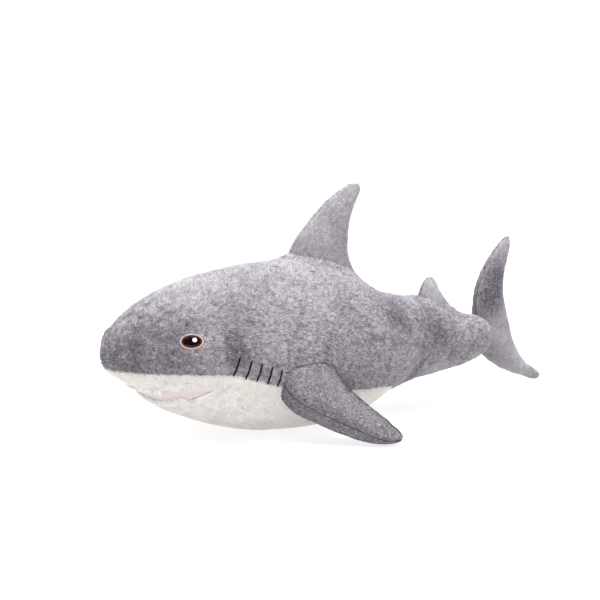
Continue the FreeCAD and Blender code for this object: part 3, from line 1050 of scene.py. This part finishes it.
def shader(name, colour, roughness=0.9, sheen=0.0, specular=0.15):
    mat = bpy.data.materials.new(name)
    mat.use_nodes = True
    set_inputs(mat.node_tree.nodes["Principled BSDF"], {
        "Base Color": (*colour, 1), "Roughness": roughness, "Specular IOR Level": specular,
        "Sheen Weight": sheen, "Sheen Roughness": 0.45})
    return mat


def mottled(mat, scale, contrast, bump, grain):
    """Varies a material's colour in patches and roughens it with a fine grain."""
    nodes, link = mat.node_tree.nodes, mat.node_tree.links.new
    bsdf = nodes["Principled BSDF"]
    colour = np.array(bsdf.inputs["Base Color"].default_value[:3])
    coords = nodes.new("ShaderNodeTexCoord").outputs["Object"]
    blotches = set_inputs(nodes.new("ShaderNodeTexNoise"), {"Scale": scale, "Detail": 5})
    fibres = set_inputs(nodes.new("ShaderNodeTexNoise"), {"Scale": grain, "Detail": 3})
    relief = set_inputs(nodes.new("ShaderNodeBump"), {"Strength": bump, "Distance": 0.0004})
    mix = nodes.new("ShaderNodeMix")
    mix.data_type = "RGBA"
    set_inputs(mix, {"A": (*(colour * (1 - contrast)), 1),
                     "B": (*np.minimum(colour * (1 + contrast), 1), 1)})
    link(coords, blotches.inputs["Vector"])
    link(coords, fibres.inputs["Vector"])
    link(blotches.outputs["Fac"], mix.inputs["Factor"])
    link(mix.outputs["Result"], bsdf.inputs["Base Color"])
    link(fibres.outputs["Fac"], relief.inputs["Height"])
    link(relief.outputs["Normal"], bsdf.inputs["Normal"])
    return mat


def thread_material(name):
    colour, roughness, gloss, contrast = THREADS[name]
    thread = shader(name + "_thread", colour, roughness, specular=gloss)
    return mottled(thread, 300, contrast, 0.4, 3000)


def pile_shades(name, colour, spread, warm, count=8):
    """One plain shade for each step from dark to light, for brushed nap and for painted light and
    shade.
    """
    shades = []
    for k in range(count):
        level = 2 * k / (count - 1) - 1
        tint = np.array([1 + warm * level, 1 + 0.05 * level, 1 - (warm + 0.02) * level])
        shade = np.clip(np.array(colour) * (1 + spread * level) * tint, 0, 0.95)
        shades.append(shader("%s_%d" % (name, k + 1), shade, 0.85, sheen=0.5))
    return shades


# --- Pieces ---


def attach(piece, body, bend=None):
    """Lets a piece move with a body; a piece that bends between two only has its place baked in."""
    if bend is None:
        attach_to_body(piece, body)
    else:
        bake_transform(piece)


def finish(piece, material, body):
    """Gives a piece that moves with one body its only material."""
    piece.data.materials.clear()
    piece.data.materials.append(material)
    attach(piece, body)


# --- Cloths, threads and kinds of pile ---

# The grey and white cloths under the pile are a little darker than their pile: painted shade among
# the tufts.
grey_cloth = mottled(shader("grey_cloth", np.array(GREY) * 0.88, sheen=0.3), 28, 0.2, 0.6, 900)
white_cloth = mottled(shader("white_cloth", np.array(WHITE) * 0.93, sheen=0.3), 28, 0.05, 0.5, 900)
# The dark seam lines are painted shadow: the ditches of the seams, drawn as dark tubes.
painted_seam_shadow = mottled(shader("painted_seam_shadow", np.array(GREY) * 0.24), 120, 0.25, 0.6, 1600)
pink_cloth = mottled(shader("pink_cloth", PINK, sheen=0.2), 60, 0.06, 0.4, 1500)
felt = mottled(shader("white_felt", FELT_WHITE, sheen=0.4), 150, 0.06, 0.9, 1100)
threads = {name: thread_material(name) for name in THREADS}

# The nap of the body lies towards the tail and a little downwards, and that of the fins a little
# upwards. The felt's loose fibres stick out forwards and down.
back_pile = Pile(pile_shades("grey_pile", GREY, 0.66, 0.0), 2.2, 3.0, 1.2, 54, (0, 1.0, -0.3), 1.5)
fin_pile = back_pile._replace(density=2.4, length=1.9, width=1.1, lean=60, nap=(0, 1.0, 0.35),
                              fleck=0.5)
belly_pile = Pile(pile_shades("white_pile", WHITE, 0.045, 0.005), 1.9, 1.9, 1.1, 60,
                  (0, 1.0, -0.3), 0.6)
felt_pile = Pile(pile_shades("felt_fibre", FELT_WHITE, 0.06, 0.0, count=4), 3.0, 3.0, 0.4, 40,
                 (0, -0.6, -0.6), 0.6)

# Where the pile is darker or lighter: shades, radius and middle, on the left. Some are brushed
# # nap; those on the top of the head and back are painted highlight, and those over the creases
# # and dimples painted shade.
PATCHES = [
    (-2.8, 14, (80, -207, 98)),
    (-2.4, 30, (47, 84, 91)),
    (-2.8, 30, (55, 6, 116)),
    (1.0, 20, (78, -40, 62)),
    (-1.8, 26, (48, -268, 125)),
    (-0.4, 18, (30, 165, 80)),
    (-1.2, 24, (70, -200, 125)),
    (-2.0, 24, (30, -287, 95)),
    (-0.8, 24, (60, -262, 85)),
    (-0.5, 16, (75, -232, 92)),
    (2.2, 44, (25, -205, 165)),
    (1.6, 44, (30, -110, 176)),
    (-1.0, 24, (70, -62, 104)),
    (1.4, 24, (42, 96, 50)),
    (1.2, 18, (80, -232, 80)),
]
# Patches on the fins, the same way: lighter on the lower tail lobe and the tops of the back fins,
# painted highlight, and darker in the middle of the upper tail lobe, painted shade.
TAIL_PATCHES = [
    (-4.4, 26, (12, 205, 120)),
    (-2.6, 16, (12, 215, 148)),
    (1.4, 30, (8, 262, 40)),
    (1.6, 26, (8, -5, 238)),
    (0.8, 30, (8, -50, 190)),
    (2.6, 20, (6, 118, 132)),
]


def patches(points, spots):
    """How much the pile is lightened or darkened, by nap and painted light; both sides are alike.
    """
    mirrored = np.abs(points[:, 0])[:, None]
    left = np.concatenate([mirrored, points[:, 1:]], 1)
    tone = np.zeros(len(points))
    for shade, radius, middle in spots:
        away = np.linalg.norm(left - middle, axis=1) / radius
        tone += shade * bell(away)
    return tone


def body_tone(points):
    """Brushed patches and the listed patches, with painted shade along the folds."""
    tone = 0.8 * lattice(points, 34.0, 41) + 0.5 * lattice(points, 14.0, 42)
    # Painted shade: the pile is darker along each crease and dimple.
    for depth, width, line in FOLDS:
        for side in both_sides(line):
            tone -= 0.5 * depth * bell(distance_to(side, points) / width)
    return tone + patches(points, PATCHES)


def fin_tone(points):
    """Brushed patches on the fins, a little lighter than the body, with painted light and shade."""
    return 0.7 * lattice(points, 26.0, 43) + 0.6 + patches(points, TAIL_PATCHES)


def clear_of_stitches(points):
    """Where no pile stands: under the eyes and the gill stitches."""
    free = np.ones(len(points), bool)
    for side_name, side in SIDES.items():
        _, rear, up = eye_axes(side)
        local = points - eye_middle(side_name)
        oval = (local @ rear / (EYE_HALF[0] + 0.6)) ** 2 + (local @ up / (EYE_HALF[1] + 0.6)) ** 2
        free &= (oval > 1) | (points[:, 0] * side < 0)
    flat = points[:, 1:]
    for top, bottom in gill_lines():
        free &= distance_to([top, bottom], flat) > GILL_WIDTH / 2 + 0.9
    return free


def dress(skin, pile, body, bend=None):
    """Gives a skin and its pile the same motion."""
    for piece in (skin, pile):
        attach(piece, body, bend)


def back_pieces(skins):
    """The two grey panels of the back, which run on into the tail."""
    for side_name in SIDES:
        skin = skins["back_skin_" + side_name]
        skin.data.materials.append(grey_cloth)
        pile = grow_pile("back_pile_" + side_name, skin, back_pile, clear_of_stitches, body_tone)
        dress(skin, pile, "body", TAIL_BEND)
    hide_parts("back_panel_left", "tail_panel_left", "body_stuffing")
    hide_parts("back_panel_right", "tail_panel_right", "tail_stuffing")


def belly_pieces(skins):
    """The white belly and the upper lip."""
    for name, bend in (("belly", JAW_BEND), ("upper_lip", None)):
        skin = skins[name + "_skin"]
        skin.data.materials.append(white_cloth)
        pile = grow_pile(name + "_pile", skin, belly_pile)
        dress(skin, pile, "body", bend)
    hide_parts("belly_panel", "chin_panel", "jaw_stuffing")
    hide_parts("upper_lip_panel")


def mouth_pieces(skins):
    """The gum, the two linings, and a row of felt teeth along each lip."""
    lip_edge = edge_of(skins["upper_lip_skin"], LIP_FRONT)
    jaw_edge = edge_of(skins["belly_skin"], JAW_FRONT)
    lower_gum(skins["lower_gum"])
    finish(skins["lower_gum"], pink_cloth, "jaw")
    inner_edge = lip_edge * (0.93, 1, 1) + (0, 3, -1.5)
    upper_lining = lining("mouth_lining_upper_cloth", lip_edge, UPPER_THROAT, 1.0, 7)
    finish(upper_lining, pink_cloth, "body")
    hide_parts("mouth_lining_upper")
    lower_lining = lining("mouth_lining_lower_cloth", inner_edge, LOWER_THROAT, 0.0, -4)
    finish(lower_lining, pink_cloth, "jaw")
    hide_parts("mouth_lining_lower")
    for name, edge, opposite, body, reach in (
        ("upper", lip_edge, jaw_edge, "body", (0.3, 0.7)),
        ("lower", jaw_edge, lip_edge, "jaw", (0.2, 0.8)),
    ):
        strip = teeth_strip(name + "_teeth_felt", edge, opposite, reach)
        fibres = grow_pile(name + "_teeth_fibres", strip, felt_pile)
        attach(fibres, body)
        finish(strip, felt, body)
        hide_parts(name + "_teeth")


def dark_line(name, line, body, bend):
    """A dark tube along a seam: painted shadow of its ditch."""
    thread = strand_object(name, [line], SEAM_RADIUS, (1, 0, 0))
    thread.data.materials.append(painted_seam_shadow)
    attach(thread, body, bend)


def fin_pieces(fin, names, nodes, body, bend=None, shade=0.0):
    """Two panels of a fin with their pile, and the painted shadow of the seam between them."""
    skins = fin.panels([name % "skin" for name in names])
    for name, stands_for, skin in zip(names, nodes, skins):
        skin.data.materials.append(grey_cloth)
        pile = grow_pile(name % "pile", skin, fin_pile,
                         keep=lambda p: distance_to(fin.seam, p) > SEAM_RADIUS + 0.15,
                         tone=lambda p: fin_tone(p) + shade)
        dress(skin, pile, body, bend)
        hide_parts(*stands_for)
    dark_line(names[0] % "seam", fin.seam, body, bend)


def pectoral_pieces(fin, side_name, face):
    """A pectoral fin, darker than the others, and the painted shadow of the seam that joins it to
    the body.
    """
    sign = SIDES[side_name]
    root_x, root_y, root_z = np.array(PECTORAL_ROOT) * MM
    start = (sign * (root_x - 0.004), root_y, root_z + 0.004)
    end = (sign * (root_x + 0.016), root_y, root_z - 0.016)
    bend = ("pectoral_" + side_name, start, end)
    fin_pieces(fin, ["pectoral_top_%s_" + side_name, "pectoral_bottom_%s_" + side_name],
               [["pectoral_top_" + side_name, "pectoral_stuffing_" + side_name],
                ["pectoral_bottom_" + side_name]],
               "body", bend, shade=-3.9)
    dark_line("pectoral_root_" + side_name, face.join(fin), "body", bend)


# Where the cloth bends at a joint: the body it bends to, and where that starts and ends.
TAIL_BEND = ("tail", (0, 0.06, 0.077), (0, 0.14, 0.077))
JAW_BEND = ("jaw", (0, -0.198, 0.04), (0, -0.238, 0.04))
DORSAL_BEND = ("dorsal_fin", (0, -0.037, 0.166), (0, -0.027, 0.198))
TAIL_FIN_BEND = ("tail_fin", (0, 0.19, 0.075), (0, 0.22, 0.075))
SEAM_RADIUS = 0.75


# --- Putting it together ---

# Every stuffed skin is blown up in one run of the simulation.
body = body_skin()
dorsal = Fin("dorsal_skin", DORSAL, 60)
rear_dorsal = Fin("rear_dorsal_skin", REAR_DORSAL, 30)
tail_fin = Fin("tail_fin_skin", TAIL_FIN, 64)
pectorals = {
    name: Fin("pectoral_skin_" + name, PECTORAL, 44, pectoral_place(side), side < 0,
              PECTORAL_FOLDS, PECTORAL_FULLNESS)
    for name, side in SIDES.items()
}
stuff([(body, 2.6), (dorsal.obj, 2.5), (rear_dorsal.obj, 1.5), (tail_fin.obj, 2.5)] +
      [(fin.obj, 2.5) for fin in pectorals.values()])

sink_belly_seam(body)
skins = take_panels(body)
back_pieces(skins)
belly_pieces(skins)
face = Surface(skins["back_skin_left"], skins["back_skin_right"], skins["belly_skin"])
for side_name in SIDES:
    eye_pieces(side_name, face, threads)
    gill_pieces(side_name, face, threads["gill"])
mouth_pieces(skins)
fin_pieces(dorsal, ["dorsal_%s_left", "dorsal_%s_right"],
           [["dorsal_panel_left", "dorsal_stuffing"], ["dorsal_panel_right"]],
           "body", DORSAL_BEND)
fin_pieces(rear_dorsal, ["rear_dorsal_%s_left", "rear_dorsal_%s_right"],
           [["rear_dorsal_fin"], []], "tail")
fin_pieces(tail_fin, ["tail_fin_%s_left", "tail_fin_%s_right"],
           [["tail_fin_panel_left", "tail_fin_stuffing"], ["tail_fin_panel_right"]],
           "tail", TAIL_FIN_BEND)
for side_name, fin in pectorals.items():
    pectoral_pieces(fin, side_name, face)


# --- Floor, light and camera ---

FLOOR_HALF = 30
FLOOR_GLOW = 0.74
KEY_PLACE = (0.5, -0.6, 2.6)
KEY_SIZE = 1.6
KEY_POWER = 130
# The camera stands off from the middle of the toy and aims a little above it.
AZIMUTH = math.radians(50)
ELEVATION = math.radians(8)
DISTANCE = 1.5
MIDDLE = (0, 0, 0.085)
AIM = (-0.0369, -0.0400, 0.1266)
LENS = 82.9
SENSOR = 36


def pale_floor():
    half = FLOOR_HALF
    corners = [(-half, -half, 0), (half, -half, 0), (half, half, 0), (-half, half, 0)]
    floor = new_object("floor", corners, [(0, 1, 2, 3)])
    paper = shader("floor_paper", (0.42, 0.42, 0.42), 0.9)
    set_inputs(paper.node_tree.nodes["Principled BSDF"],
               {"Emission Color": (1, 1, 1, 1), "Emission Strength": FLOOR_GLOW})
    floor.data.materials.append(paper)


def white_world():
    world = bpy.data.worlds.new("studio")
    world.use_nodes = True
    set_inputs(world.node_tree.nodes["Background"], {"Color": (1, 1, 1, 1), "Strength": 1.0})
    bpy.context.scene.world = world


def look_from(obj, place, target):
    """Stands a light or a camera at a place and points it at a target."""
    obj.location = place
    obj.rotation_euler = (Vector(target) - Vector(place)).to_track_quat("-Z", "Y").to_euler()
    bpy.context.scene.collection.objects.link(obj)


def key_softbox():
    data = bpy.data.lights.new("key_softbox", "AREA")
    data.shape = "SQUARE"
    data.size = KEY_SIZE
    data.energy = KEY_POWER
    look_from(bpy.data.objects.new("key_softbox", data), KEY_PLACE, (0, 0, 0.1))


def stand_camera():
    data = bpy.data.cameras.new("camera")
    data.lens = LENS
    data.sensor_width = SENSOR
    camera = bpy.data.objects.new("camera", data)
    level = math.cos(ELEVATION)
    away = Vector((math.sin(AZIMUTH) * level, -math.cos(AZIMUTH) * level, math.sin(ELEVATION)))
    look_from(camera, away * DISTANCE + Vector(MIDDLE), AIM)
    bpy.context.scene.camera = camera


pale_floor()
white_world()
key_softbox()
stand_camera()
bpy.context.scene.view_settings.view_transform = "Standard"
